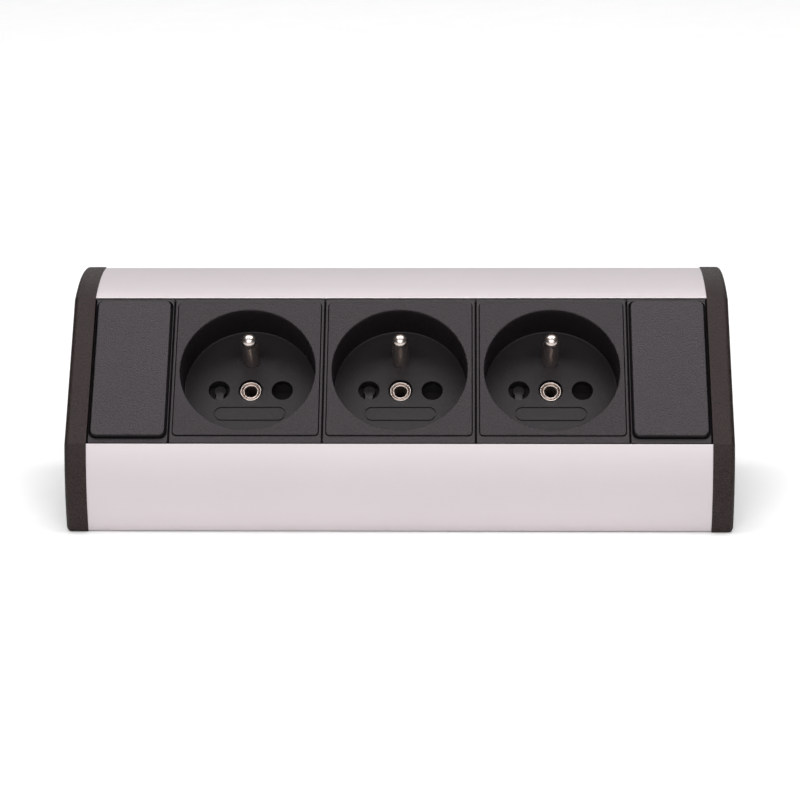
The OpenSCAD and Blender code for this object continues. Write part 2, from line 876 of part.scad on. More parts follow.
terminal_clamps();
terminal_screws();
line_wire();
neutral_wire();
earth_wire();
inlet_grommet();
bonding_lug();
bonding_screw();
bonding_wire();
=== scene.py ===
"""Looks of the desk power strip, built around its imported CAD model.

An aluminium section with a curved front carries three earthed sockets and two blank modules in
its slanted face, between two plastic end caps. Lengths are in metres. On the slanted face, places
are (x, v, w): x along the strip, v up the slope and w out of the face.
"""
import json
import bpy
import bmesh
from math import acos, asin, cos, pi, radians, sin, sqrt, tan, tau
from mathutils import Matrix, Vector


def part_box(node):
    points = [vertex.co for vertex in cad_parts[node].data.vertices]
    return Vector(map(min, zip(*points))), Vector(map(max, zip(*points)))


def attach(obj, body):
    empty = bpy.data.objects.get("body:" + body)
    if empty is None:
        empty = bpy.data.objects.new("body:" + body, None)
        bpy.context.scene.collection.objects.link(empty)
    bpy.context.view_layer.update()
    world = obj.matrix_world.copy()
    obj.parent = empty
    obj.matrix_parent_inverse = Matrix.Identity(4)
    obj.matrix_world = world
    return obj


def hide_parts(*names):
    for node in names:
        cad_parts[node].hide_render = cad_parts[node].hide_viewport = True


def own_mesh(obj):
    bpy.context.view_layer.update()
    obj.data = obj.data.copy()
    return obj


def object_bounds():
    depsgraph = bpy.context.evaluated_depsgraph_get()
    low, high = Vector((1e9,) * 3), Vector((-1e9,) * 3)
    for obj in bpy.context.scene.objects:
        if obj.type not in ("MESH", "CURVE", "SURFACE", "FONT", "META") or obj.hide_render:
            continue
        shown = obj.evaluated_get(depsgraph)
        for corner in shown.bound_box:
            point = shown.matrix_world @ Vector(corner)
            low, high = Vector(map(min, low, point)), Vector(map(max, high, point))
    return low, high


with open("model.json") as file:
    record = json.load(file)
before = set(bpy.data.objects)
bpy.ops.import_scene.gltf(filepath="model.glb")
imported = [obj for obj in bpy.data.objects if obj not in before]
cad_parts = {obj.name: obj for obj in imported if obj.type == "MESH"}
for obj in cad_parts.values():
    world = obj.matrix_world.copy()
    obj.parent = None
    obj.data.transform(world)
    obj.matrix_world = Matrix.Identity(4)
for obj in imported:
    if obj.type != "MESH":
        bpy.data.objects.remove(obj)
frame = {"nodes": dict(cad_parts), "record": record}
cad_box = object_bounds()

MM = 0.001
MOUNTS = {m["name"]: m for m in frame["record"]["mounts"]}

# ---- Sizes, from the frame where it gives them ----

HALF_LENGTH, HALF_DEPTH, TOP = cad_box[1]
HOUSING_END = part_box("housing_profile")[1].x
CAP_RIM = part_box("housing_profile")[0].z
CAP_ROUND = 1.6 * MM
CAP_RIB = 4 * MM
SKIN = 2 * MM

# The front curve, with its centre as far from the back as from the underside
ARC_INSET = 9 * MM
ARC_Y = HALF_DEPTH - ARC_INSET
ARC_Z = ARC_INSET
CAP_RADIUS = TOP - ARC_INSET
METAL_RADIUS = CAP_RADIUS - CAP_RIM

# Screw ports of the section as (y, z), and the way each one opens to the inside, in degrees
PORT_INSET = 5.8 * MM
PORT_FAR = TOP - 6.4 * MM
PORTS = [(HALF_DEPTH - a, b) for a, b in
         ((PORT_INSET, PORT_FAR), (PORT_FAR, PORT_INSET), (PORT_INSET, PORT_INSET))]
PORT_TURNS = (225, 45, 135)
PORT_RADIUS = 4.2 * MM
PORT_BORE = 1.45 * MM

INLET_CENTRE = Vector(MOUNTS["cable_inlet"]["pos_m"])
INLET_CENTRE.y = HALF_DEPTH - CAP_RIM
INLET_RADIUS = MOUNTS["cable_inlet"]["dims"]["r_mm"] * MM

# Levels on the slanted face, as w
RECESS_DEPTH = 13.2 * MM
FLOOR_THICKNESS = 2 * MM
FLOOR = -RECESS_DEPTH
FLOOR_BACK = FLOOR - FLOOR_THICKNESS
SEAT_DEPTH = 2.2 * MM
RAIL_FLOOR = -SEAT_DEPTH - 2.2 * MM
FRAME_FLOOR = -SEAT_DEPTH + 0.1 * MM
PANEL_DEPTH = 1.4 * MM
PANEL_RAISE = 0.4 * MM
COVER_RAISE = 1.3 * MM

# The slanted face: its directions, its middle and its half width
SLOPE = radians(45)
OUT = Vector((0, -sin(SLOPE), cos(SLOPE)))
LINE_HOLE = MOUNTS["middle_line_hole"]
FACE = Vector(LINE_HOLE["pos_m"]) + OUT * (RECESS_DEPTH + FLOOR_THICKNESS / 2)
FACE.x = 0
FACE_DISTANCE = (FACE - Vector((0, ARC_Y, ARC_Z))).dot(OUT)
FACE_HALF = sqrt(METAL_RADIUS ** 2 - FACE_DISTANCE ** 2)

# Modules, with the places of their middles along the strip
SOCKET_PITCH = 45 * MM
SOCKETS = {"left": -SOCKET_PITCH, "middle": 0.0, "right": SOCKET_PITCH}
BLANK_WIDTH = 24 * MM
BLANK_PLACE = HOUSING_END - BLANK_WIDTH / 2
BLANKS = {"left": -BLANK_PLACE, "right": BLANK_PLACE}
MODULE_GAP = 0.58 * MM
LIP_HEIGHT = 2 * FACE_HALF - 0.2 * MM
FRAME_HEIGHT = LIP_HEIGHT - 0.8 * MM
FRAME_RISE = -0.05 * MM
RAIL_WINDOW = 43.2 * MM
PANEL_BORDER = 2.3 * MM
PANEL_WIDTH = SOCKET_PITCH - PANEL_BORDER
PANEL_HEIGHT = 44.2 * MM
PANEL_RISE = 0.5 * MM
PANEL_GAP = 0.2 * MM
COVER_WIDTH = BLANK_WIDTH - PANEL_BORDER
COVER_HEIGHT = PANEL_HEIGHT + 0.4 * MM
COVER_RISE = PANEL_RISE - 0.2 * MM
COVER_GAP = 0.58 * MM

# A socket
RECESS_RADIUS = 20 * MM
CUP_RADIUS = RECESS_RADIUS + 1.2 * MM
LIVE_X = -LINE_HOLE["pos_m"][0]
LIVE_RADIUS = LINE_HOLE["dims"]["r_mm"] * MM
EARTH_RISE = 10 * MM
EARTH_RADIUS = MOUNTS["middle_earth_pin"]["dims"]["r_mm"] * MM
EARTH_LENGTH = 14.5 * MM
EARTH_TAIL = 1.8 * MM
RIVET_RIM = 3.2 * MM
RIVET_RADIUS = 2.1 * MM
RIVET_BORE = 1.65 * MM
RIVET_SINK = 0.6 * MM
RIVET_POCKET = 1.6 * MM
SPRING_TOP = -7.9 * MM
SPRING_REACH = 9.9 * MM
SPRING_LEVEL = FLOOR_BACK - 4.3 * MM

# ---- Mesh building ----

# Sides of round pieces
RECESS_SIDES = 144
HOLE_SIDES = 56
SCREW_SIDES = 40
BORE_SIDES = 32


def face_matrix(x=0.0):
    """From (x, v, w) on the slanted face to the row frame."""
    return Matrix.Translation(FACE + Vector((x, 0, 0))) @ Matrix.Rotation(SLOPE, 4, "X")


def linked(name, data):
    obj = bpy.data.objects.new(name, data)
    bpy.context.scene.collection.objects.link(obj)
    return obj


def new_object(name, bm):
    mesh = bpy.data.meshes.new(name)
    bmesh.ops.recalc_face_normals(bm, faces=bm.faces)
    bm.to_mesh(mesh)
    bm.free()
    return linked(name, mesh)


def bands(bm, pairs):
    """Quads between pairs of closed rows of vertices."""
    for a, b in pairs:
        for i in range(len(a)):
            j = (i + 1) % len(a)
            bm.faces.new((a[i], a[j], b[j], b[i]))


def rings(name, loops, closed=False):
    """A solid through a list of point loops of equal length, with its ends filled.

    closed joins the last loop to the first instead.
    """
    bm = bmesh.new()
    rows = [[bm.verts.new(p) for p in loop] for loop in loops]
    bands(bm, list(zip(rows, rows[1:])) + ([(rows[-1], rows[0])] if closed else []))
    if not closed:
        bm.faces.new(rows[0])
        bm.faces.new(rows[-1])
    return new_object(name, bm)


def angles(start, end, steps):
    """Evenly spaced angles from one to another, ends included."""
    return [start + (end - start) * i / steps for i in range(steps + 1)]


def circle(radius, segments):
    return [(radius * cos(t), radius * sin(t)) for t in angles(0, tau, segments)[:-1]]


def quarter(radius, steps=4):
    """(inset, drop) along a quarter-round edge, from its side to its top."""
    return [(radius * (1 - cos(t)), radius * (1 - sin(t))) for t in angles(0, pi / 2, steps)]


def flare(radius, steps=4):
    """(outset, drop) of the cutter that leaves a quarter-round edge, up to and past the surface."""
    past = 1 * MM
    return quarter(radius, steps) + [(radius, -past)]


def rounded_rectangle(width, height, radius, steps=6):
    corners = [(1, 1, 0), (-1, 1, pi / 2), (-1, -1, pi), (1, -1, 3 * pi / 2)]
    points = []
    for sx, sy, start in corners:
        cx, cy = sx * (width / 2 - radius), sy * (height / 2 - radius)
        for t in angles(start, start + pi / 2, steps):
            points.append((cx + radius * cos(t), cy + radius * sin(t)))
    return points


def plate(name, width, height, radius, low, high, top=0.0, bottom=0.0, rise=0.0, steps=4):
    """A rounded rectangular plate between two levels, with quarter-round edges.

    A negative rounding flares outwards, for a cutter that rounds the edge of what it cuts.
    """
    smallest_corner = 0.05 * MM
    if bottom:
        levels = [(i, low + d) for i, d in reversed(quarter(bottom, steps))]
    else:
        levels = [(0.0, low)]
    if top > 0:
        levels += [(i, high - d) for i, d in quarter(top, steps)]
    elif top < 0:
        levels += [(-i, high - d) for i, d in flare(-top, steps)]
    else:
        levels.append((0.0, high))
    loops = []
    for inset, level in levels:
        corner = max(radius - inset, smallest_corner)
        outline = rounded_rectangle(width - 2 * inset, height - 2 * inset, corner)
        loops.append([(x, y + rise, level) for x, y in outline])
    return rings(name, loops)


def lathe(name, profile, segments=64, centre=(0.0, 0.0)):
    """Turns a profile of (radius, level) about w. Its ends lie on the axis or close a ring."""
    on_axis = profile[0][0] == 0
    loops = []
    for radius, level in profile[1:-1] if on_axis else profile:
        loops.append([(centre[0] + p, centre[1] + q, level) for p, q in circle(radius, segments)])
    if not on_axis:
        return rings(name, loops, closed=True)
    bm = bmesh.new()
    rows = [[bm.verts.new(p) for p in loop] for loop in loops]
    bands(bm, zip(rows, rows[1:]))
    for (radius, level), row in ((profile[0], rows[0]), (profile[-1], rows[-1])):
        tip = bm.verts.new((centre[0], centre[1], level))
        for i in range(segments):
            bm.faces.new((row[i], row[(i + 1) % segments], tip))
    return new_object(name, bm)


def box_between(name, a, b, edge=0.0):
    smallest_edge = 0.02 * MM
    low = [min(p, q) for p, q in zip(a, b)]
    high = [max(p, q) for p, q in zip(a, b)]
    width, height = high[0] - low[0], high[1] - low[1]
    obj = plate(name, width, height, max(edge, smallest_edge), low[2], high[2], top=edge,
                bottom=edge, steps=2)
    middle = ((low[0] + high[0]) / 2, (low[1] + high[1]) / 2, 0)
    obj.data.transform(Matrix.Translation(middle))
    return obj


def combine(target, tools, operation="DIFFERENCE"):
    """Cuts the tools from the target, or joins them to it, and removes them."""
    for tool in tools:
        step = target.modifiers.new("step", "BOOLEAN")
        step.operation = operation
        step.solver = "EXACT"
        step.object = tool
        bpy.context.view_layer.update()
        evaluated = target.evaluated_get(bpy.context.evaluated_depsgraph_get())
        mesh = bpy.data.meshes.new_from_object(evaluated)
        target.modifiers.remove(step)
        old = target.data
        target.data = mesh
        bpy.data.meshes.remove(old)
        bpy.data.objects.remove(tool)
    return target


def joined(name, objects):
    """Several separate solids as one object."""
    bm = bmesh.new()
    for obj in objects:
        bm.from_mesh(obj.data)
        bpy.data.objects.remove(obj)
    return new_object(name, bm)


def copy_of(obj, name):
    return linked(name, obj.data.copy())


def mirrored(obj, name):
    """A copy on the other side of the middle of the strip."""
    twin = copy_of(obj, name)
    twin.data.transform(Matrix.Scale(-1, 4, (1, 0, 0)))
    twin.data.flip_normals()
    return twin


def tidy(obj, sharp):
    """Merges doubled points, drops slivers, and shades smooth up to an angle."""
    merge, normal_weight = 0.002 * MM, 100
    bm = bmesh.new()
    bm.from_mesh(obj.data)
    bmesh.ops.remove_doubles(bm, verts=bm.verts, dist=merge)
    bmesh.ops.dissolve_degenerate(bm, edges=bm.edges, dist=merge)
    loose = [v for v in bm.verts if not v.link_faces]
    bmesh.ops.delete(bm, geom=loose, context="VERTS")
    bm.to_mesh(obj.data)
    bm.free()
    obj.data.shade_smooth()
    obj.data.set_sharp_from_angle(angle=radians(sharp))
    weighted = obj.modifiers.new("weighted normals", "WEIGHTED_NORMAL")
    weighted.keep_sharp = True
    weighted.weight = normal_weight


def dress(obj, slot):
    obj.data.materials.clear()
    obj.data.materials.append(MATERIALS[slot])


def place(obj, matrix, node, body, slot, sharp=35.0):
    """Puts a finished piece on its body in place of its CAD node."""
    obj.name = node + "_shape"
    obj.data.name = obj.name
    obj.data.transform(matrix)
    tidy(obj, sharp)
    dress(obj, slot)
    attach(obj, body)
    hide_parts(node)
    return obj


def place_ends(obj, kind, slot, sharp):
    """A piece of the right end, and its mirror image at the left end."""
    for piece, side in ((obj, "right"), (mirrored(obj, "left " + kind), "left")):
        place(piece, Matrix.Identity(4), side + "_" + kind, "strip", slot, sharp)


def place_modules(makers, places, twin):
    """A piece of each kind at the last place, and its twins at the others."""
    for kind, make, slot, sharp, body in makers:
        first = make()
        for index, (side, x) in enumerate(places.items()):
            obj = first if index == len(places) - 1 else twin(first, side)
            place(obj, face_matrix(x), side + "_" + kind, body.format(side), slot, sharp)

# ---- Materials ----


def new_material(name):
    material = bpy.data.materials.new(name)
    material.use_nodes = True
    tree = material.node_tree
    return material, tree, tree.nodes["Principled BSDF"]


def paint(tree, shader, colour, roughness):
    tree.links.new(colour, shader.inputs["Base Color"])
    tree.links.new(roughness, shader.inputs["Roughness"])


def noise(tree, scale, detail=3.0, stretch=(1.0, 1.0, 1.0), roughness=0.55):
    """3-D noise fixed to the piece; a scale of 1000 gives grains of about a millimetre."""
    where = tree.nodes.new("ShaderNodeTexCoord")
    mapping = tree.nodes.new("ShaderNodeMapping")
    mapping.inputs["Scale"].default_value = stretch
    pattern = tree.nodes.new("ShaderNodeTexNoise")
    pattern.inputs["Scale"].default_value = scale
    pattern.inputs["Detail"].default_value = detail
    pattern.inputs["Roughness"].default_value = roughness
    tree.links.new(where.outputs["Object"], mapping.inputs["Vector"])
    tree.links.new(mapping.outputs["Vector"], pattern.inputs["Vector"])
    return pattern.outputs["Fac"]


def spread(tree, value, low, high, from_low=0.3, from_high=0.7):
    """Maps a 0-1 pattern onto a range."""
    node = tree.nodes.new("ShaderNodeMapRange")
    node.inputs["From Min"].default_value = from_low
    node.inputs["From Max"].default_value = from_high
    node.inputs["To Min"].default_value = low
    node.inputs["To Max"].default_value = high
    tree.links.new(value, node.inputs["Value"])
    return node.outputs["Result"]


def mix(tree, factor, first, second):
    """Mixes two colours, each a tuple or a socket, by a socket."""
    node = tree.nodes.new("ShaderNodeMix")
    node.data_type = "RGBA"
    tree.links.new(factor, node.inputs[0])
    for value, socket in ((first, node.inputs[6]), (second, node.inputs[7])):
        if isinstance(value, tuple):
            socket.default_value = (*value, 1.0)
        else:
            tree.links.new(value, socket)
    return node.outputs[2]


def edge_mask(tree, radius):
    """0 on flat surface, rising to 1 on edges sharper than a radius."""
    edge, flat = 0.75, 0.99
    bevel = tree.nodes.new("ShaderNodeBevel")
    bevel.samples = 4
    bevel.inputs["Radius"].default_value = radius
    shape = tree.nodes.new("ShaderNodeNewGeometry")
    dot = tree.nodes.new("ShaderNodeVectorMath")
    dot.operation = "DOT_PRODUCT"
    tree.links.new(bevel.outputs["Normal"], dot.inputs[0])
    tree.links.new(shape.outputs["Normal"], dot.inputs[1])
    return spread(tree, dot.outputs["Value"], 1.0, 0.0, edge, flat)


def tint(colour, factor):
    return tuple(min(c * factor, 1.0) for c in colour)


def bumped(tree, shader, pattern, strength, distance):
    bump = tree.nodes.new("ShaderNodeBump")
    bump.inputs["Strength"].default_value = strength
    bump.inputs["Distance"].default_value = distance
    tree.links.new(pattern, bump.inputs["Height"])
    tree.links.new(bump.outputs["Normal"], shader.inputs["Normal"])


def level_of(tree):
    """The distance of a point along the direction out of the slanted face."""
    where = tree.nodes.new("ShaderNodeTexCoord")
    level = tree.nodes.new("ShaderNodeVectorMath")
    level.operation = "DOT_PRODUCT"
    level.inputs[1].default_value = OUT
    tree.links.new(where.outputs["Object"], level.inputs[0])
    return level.outputs["Value"]


def above(tree, low, high):
    """0 below one level and 1 above another, both measured out of the slanted face."""
    surface = FACE.dot(OUT)
    return spread(tree, level_of(tree), 0.0, 1.0, surface + low, surface + high)


def faded(tree, mask, pattern, weakest):
    """The pattern, drawn towards its middle value where the mask is 0."""
    middle = 0.5
    fade = tree.nodes.new("ShaderNodeMix")
    fade.inputs[2].default_value = middle
    tree.links.new(spread(tree, mask, weakest, 1.0, 0.0, 1.0), fade.inputs[0])
    tree.links.new(pattern, fade.inputs[3])
    return fade.outputs[0]


def total(tree, first, second):
    node = tree.nodes.new("ShaderNodeMath")
    tree.links.new(first, node.inputs[0])
    tree.links.new(second, node.inputs[1])
    return node.outputs[0]


def lathe_rings(tree, scale):
    """Noise along the direction out of the slanted face only, as turning leaves it on a pin."""
    pattern = tree.nodes.new("ShaderNodeTexNoise")
    pattern.noise_dimensions = "1D"
    pattern.inputs["Scale"].default_value = scale
    pattern.inputs["Detail"].default_value = 0.0
    tree.links.new(level_of(tree), pattern.inputs["W"])
    return pattern.outputs["Fac"]


def plastic(name, colour, roughness, grain, bump, contrast=0.12, gloss=0.5, wear=0.25, levels=None,
            deep=1.0, dull=0.0, sheen=(1.0, 0.93, 0.965)):
    """Moulded plastic with a spark-eroded grain, faint blotches and edges polished by touch.

    Below these levels of the slanted face, in the gaps between parts and in the recesses, the grain
    is weaker, the colour is scaled by deep as painted shade and the roughness grows by dull.
    """
    grain_low, grain_high, weakest = 0.38, 0.62, 0.35
    blotch_scale, blotch_most, blotch_tint = 90.0, 0.35, 0.8
    worn_edge, bump_height = 0.35 * MM, 0.18 * MM
    smoothest, roughest = roughness - 0.13, roughness + 0.15
    material, tree, shader = new_material(name)
    fine = noise(tree, grain, 2.0, roughness=0.6)
    if levels:
        above_painted_shade = above(tree, *levels)
        fine = faded(tree, above_painted_shade, fine, weakest)
    blotches = spread(tree, noise(tree, blotch_scale), 0.0, blotch_most)
    grains = spread(tree, fine, 0, 1, grain_low, grain_high)
    grainy = mix(tree, grains, tint(colour, 1 - contrast), tint(colour, 1 + contrast))
    blotchy = mix(tree, blotches, grainy, tint(colour, blotch_tint))
    surface_colour = mix(tree, edge_mask(tree, worn_edge), blotchy, tint(colour, 1 + wear))
    # Below the levels deep scales the colour down: painted shade in the gaps and recesses.
    if levels:
        surface_colour = mix(tree, above_painted_shade, tint(colour, deep), surface_colour)
    rough = spread(tree, grains, smoothest, roughest, 0.0, 1.0)
    if dull:
        rough = total(tree, rough, spread(tree, above_painted_shade, dull, 0.0, 0.0, 1.0))
    paint(tree, shader, surface_colour, rough)
    shader.inputs["Specular IOR Level"].default_value = gloss
    shader.inputs["Specular Tint"].default_value = (*sheen, 1.0)
    bumped(tree, shader, fine, bump, bump_height)
    return material


def metal(name, colour, roughness, grain, stretch=(1.0, 1.0, 1.0), stain=None, turned=False,
          uneven=1.0):
    """Metal with a fine grain, a faint stain and brighter edges; turned adds rings from a lathe.

    uneven scales how much the roughness varies.
    """
    contrast, stain_scale, stain_most, stain_tint = 0.06, 120.0, 0.5, 0.88
    worn_edge, worn_tint = 0.25 * MM, 1.08
    ring_scale, ring_bump, ring_height = 1200.0, 0.12, 0.03 * MM
    grain_bump, grain_height = 0.08, 0.02 * MM
    smoothest, roughest = roughness - 0.04 * uneven, roughness + 0.06 * uneven
    material, tree, shader = new_material(name)
    shader.inputs["Metallic"].default_value = 1.0
    fine = noise(tree, grain, stretch=stretch)
    stains = spread(tree, noise(tree, stain_scale), 0.0, stain_most)
    dark, light = tint(colour, 1 - contrast), tint(colour, 1 + contrast)
    grainy = mix(tree, spread(tree, fine, 0, 1), dark, light)
    stained = mix(tree, stains, grainy, stain or tint(colour, stain_tint))
    surface_colour = mix(tree, edge_mask(tree, worn_edge), stained, tint(colour, worn_tint))
    paint(tree, shader, surface_colour, spread(tree, fine, smoothest, roughest))
    if turned:
        bumped(tree, shader, lathe_rings(tree, ring_scale), ring_bump, ring_height)
    else:
        bumped(tree, shader, fine, grain_bump, grain_height)
    return material


def striped(name, first, second, roughness):
    """Wire insulation in two colours, in stripes along the wire."""
    stripe_scale, stripe_stretch, stripe_edges = 55.0, (1.0, 6.0, 1.0), (0.49, 0.51)
    grain_scale, grain_bump, grain_height = 1800.0, 0.1, 0.03 * MM
    soil_most, soil_tint = 0.2, 0.6
    smoothest, roughest = roughness - 0.05, roughness + 0.08
    material, tree, shader = new_material(name)
    stripes = noise(tree, stripe_scale, 0.0, stripe_stretch)
    fine = noise(tree, grain_scale, 2.0)
    colours = mix(tree, spread(tree, stripes, 0, 1, *stripe_edges), first, second)
    soiled = mix(tree, spread(tree, fine, 0.0, soil_most), colours, tint(first, soil_tint))
    paint(tree, shader, soiled, spread(tree, fine, smoothest, roughest))
    bumped(tree, shader, fine, grain_bump, grain_height)
    return material


def anodised(name, colour, roughness):
    """Satin anodised aluminium with a faint grain along the strip."""
    line_scale, along_strip = 1600.0, (0.012, 1.0, 1.0)
    cloud_scale, cloud_stretch, cloud_most, cloud_tint = 28.0, (0.6, 1.0, 1.0), 0.5, 0.965
    matt_scale, matt_bump, matt_height = 5200.0, 0.12, 0.02 * MM
    dark, light = 0.975, 1.02
    worn_edge, worn_tint = 0.3 * MM, 1.1
    smoothest, roughest = roughness - 0.03, roughness + 0.04
    material, tree, shader = new_material(name)
    shader.inputs["Metallic"].default_value = 1.0
    lines = noise(tree, line_scale, 4.0, along_strip)
    matt = noise(tree, matt_scale, 2.0)
    clouds = spread(tree, noise(tree, cloud_scale, stretch=cloud_stretch), 0.0, cloud_most)
    drawn = mix(tree, spread(tree, lines, 0, 1), tint(colour, dark), tint(colour, light))
    clouded = mix(tree, clouds, drawn, tint(colour, cloud_tint))
    surface_colour = mix(tree, edge_mask(tree, worn_edge), clouded, tint(colour, worn_tint))
    paint(tree, shader, surface_colour, spread(tree, lines, smoothest, roughest))
    bumped(tree, shader, matt, matt_bump, matt_height)
    return material


MATERIALS = {"satin_aluminium": anodised("anodised_aluminium", (0.65, 0.60, 0.615), 0.58)}


def finish(slot, kind, *values, **options):
    """A slot's material: its kind, colour and roughness, then the scale and height of its grain."""
    MATERIALS[slot] = kind(slot, *values, **options)


finish("cap_plastic", plastic, (0.0185, 0.0120, 0.0112), 0.52, 2300.0, 0.6, contrast=0.8,
       gloss=0.27, sheen=(1.0, 0.89, 0.89))
# deep paints shade below the levels: gaps between modules, socket recesses, the covers' sides.
finish("module_plastic", plastic, (0.0160, 0.0130, 0.0150), 0.50, 2200.0, 0.6, contrast=0.85,
       gloss=0.41, levels=(-0.5 * MM, -0.15 * MM), deep=0.1, dull=0.35)
finish("panel_plastic", plastic, (0.0145, 0.0115, 0.0135), 0.50, 2300.0, 0.7, contrast=0.95,
       gloss=0.385, levels=(-1.2 * MM, -0.6 * MM), deep=0.5)
finish("cover_plastic", plastic, (0.0200, 0.0165, 0.0190), 0.50, 2200.0, 0.7, contrast=0.95,
       gloss=0.44, levels=(0.4 * MM, 1.0 * MM), deep=0.2, dull=0.3)
finish("base_plastic", plastic, (0.050, 0.047, 0.045), 0.5, 1500.0, 0.15)
finish("shutter_plastic", plastic, (0.022, 0.020, 0.021), 0.5, 2500.0, 0.3)
finish("terminal_plastic", plastic, (0.70, 0.69, 0.64), 0.4, 1200.0, 0.1, contrast=0.04, wear=0.1)
finish("nickel", metal, (0.67, 0.59, 0.55), 0.30, 1500.0, turned=True, uneven=0.15)
finish("brass", metal, (0.80, 0.58, 0.26), 0.28, 1800.0, (0.2, 1, 1), stain=(0.52, 0.34, 0.15))
finish("spring_steel", metal, (0.60, 0.60, 0.62), 0.25, 3000.0)
finish("zinc_screw", metal, (0.64, 0.65, 0.68), 0.30, 2600.0)
finish("tinned_copper", metal, (0.70, 0.68, 0.64), 0.34, 2200.0, stain=(0.55, 0.45, 0.36))
for tone, colour in (("brown", (0.15, 0.06, 0.03)), ("blue", (0.03, 0.12, 0.42))):
    finish(tone + "_insulation", plastic, colour, 0.4, 1500.0, 0.1, contrast=0.06, wear=0.1)
finish("green_yellow_insulation", striped, (0.05, 0.30, 0.06), (0.72, 0.62, 0.05), 0.4)
finish("grommet_rubber", plastic, (0.022, 0.022, 0.022), 0.62, 1800.0, 0.3)

for part in frame["record"]["subparts"]:
    dress(frame["nodes"][part["node"]], part["material_slot"])

# ---- Housing and end caps ----


def arc(radius, start, end, steps):
    """Points (y, z) on a circle about the centre of the front curve, ends included."""
    return [Vector((ARC_Y - radius * cos(t), ARC_Z + radius * sin(t)))
            for t in angles(start, end, steps)]


def rounded_corner(before, corner, after, radius, steps):
    """Points of the arc that rounds a corner between two straight runs."""
    a = (before - corner).normalized()
    b = (after - corner).normalized()
    half = a.angle(b) / 2
    reach = radius / tan(half)
    centre = corner + (a + b).normalized() * radius / sin(half)
    start, end = corner + a * reach - centre, corner + b * reach - centre
    sweep = start.angle(end)
    points = []
    for i in range(steps + 1):
        t = i / steps
        weight_a = sin((1 - t) * sweep) / sin(sweep)
        weight_b = sin(t * sweep) / sin(sweep)
        points.append(centre + start * weight_a + end * weight_b)
    return points


def section_outline(radius, inset, level, rounding, arc_steps=40, corner_steps=4):
    """The strip's section as (y, z): underside, front curve, slanted face, upper curve, back."""
    base = inset
    back = HALF_DEPTH - inset
    distance = FACE_DISTANCE + level
    half = asin(sqrt(radius ** 2 - distance ** 2) / radius)
    lower = arc(radius, asin((base - ARC_Z) / radius), SLOPE - half, arc_steps)
    upper = arc(radius, SLOPE + half, pi / 2 + asin((back - ARC_Y) / radius), arc_steps)
    heel = Vector((back, base))
    corners = [heel, lower[0], lower[-1], upper[0], upper[-1]]
    around = [(upper[-1], lower[0]), (heel, lower[1]), (lower[-2], upper[0]),
              (lower[-1], upper[1]), (upper[-2], heel)]
    turned = [rounded_corner(a, c, b, rounding, corner_steps) for c, (a, b) in zip(corners, around)]
    return turned[0] + turned[1] + lower[1:-1] + turned[2] + turned[3] + upper[1:-1] + turned[4]


def prism(name, outline, start, end):
    return rings(name, [[(x, y, z) for y, z in outline] for x in (start, end)])


def rod_x(name, spot, radius, start, end, segments=BORE_SIDES):
    """A rod along the strip."""
    loops = [[(x, *(p + q for p, q in zip(spot, point))) for point in circle(radius, segments)]
             for x in (start, end)]
    return rings(name, loops)


def slanted_block(name, half_height, low, high, reach):
    """A block across the slanted face, along the whole strip."""
    block = box_between(name, (-reach, -half_height, low), (reach, half_height, high))
    block.data.transform(face_matrix())
    return block


def round_hole(name, centre, axis, radius, length):
    """A cutter for a round hole, with its middle at a point."""
    half = length / 2
    profile = [(0, -half), (radius, -half), (radius, half), (0, half)]
    cutter = lathe(name, profile, SCREW_SIDES)
    turn = Vector((0, 0, 1)).rotation_difference(axis).to_matrix().to_4x4()
    cutter.data.transform(Matrix.Translation(centre) @ turn)
    return cutter


def at_cap(spot):
    """From a piece turned about Z to its place in the outer face of the right cap."""
    return Matrix.Translation((HALF_LENGTH, *spot)) @ Matrix.Rotation(pi / 2, 4, "Y")


def port_cutters(reach):
    """The screw bore of each port, and the slot that opens it to the inside."""
    slot_half, slot_past = 0.6 * MM, 2 * MM
    cutters = []
    for spot, turn in zip(PORTS, PORT_TURNS):
        cutters.append(rod_x("bore", spot, PORT_BORE, -reach, reach))
        far = (reach, PORT_RADIUS + slot_past, slot_half)
        slot = box_between("slot", (-reach, 0, -slot_half), far)
        turned = Matrix.Rotation(radians(turn), 4, "X")
        slot.data.transform(Matrix.Translation((0, *spot)) @ turned)
        cutters.append(slot)
    return cutters


def wall_cutters():
    """The fixing holes, the cable inlet and the bonding screw's hole."""
    hole_length, bush_seat, bonding_radius, bonding_length = 6 * MM, 1.8 * MM, 2.05 * MM, 3 * MM
    cutters = []
    for mount in (MOUNTS["back_fixing_holes"], MOUNTS["underside_fixing_holes"]):
        offset = mount["dims"]["spacing_x_mm"] / 2 * MM
        radius = mount["dims"]["hole_r_mm"] * MM
        for side in (-1, 1):
            centre = Vector(mount["pos_m"]) + Vector((side * offset, 0, 0))
            cutters.append(round_hole("hole", centre, Vector(mount["axis"]), radius, hole_length))
    seat = INLET_RADIUS + bush_seat
    cutters.append(round_hole("inlet", INLET_CENTRE, Vector((0, 1, 0)), seat, hole_length))
    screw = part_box("bonding_screw")
    centre = (screw[0] + screw[1]) / 2
    centre.z = CAP_RIM + SKIN
    cutters.append(round_hole("bonding", centre, Vector((0, 0, 1)), bonding_radius, bonding_length))
    return cutters


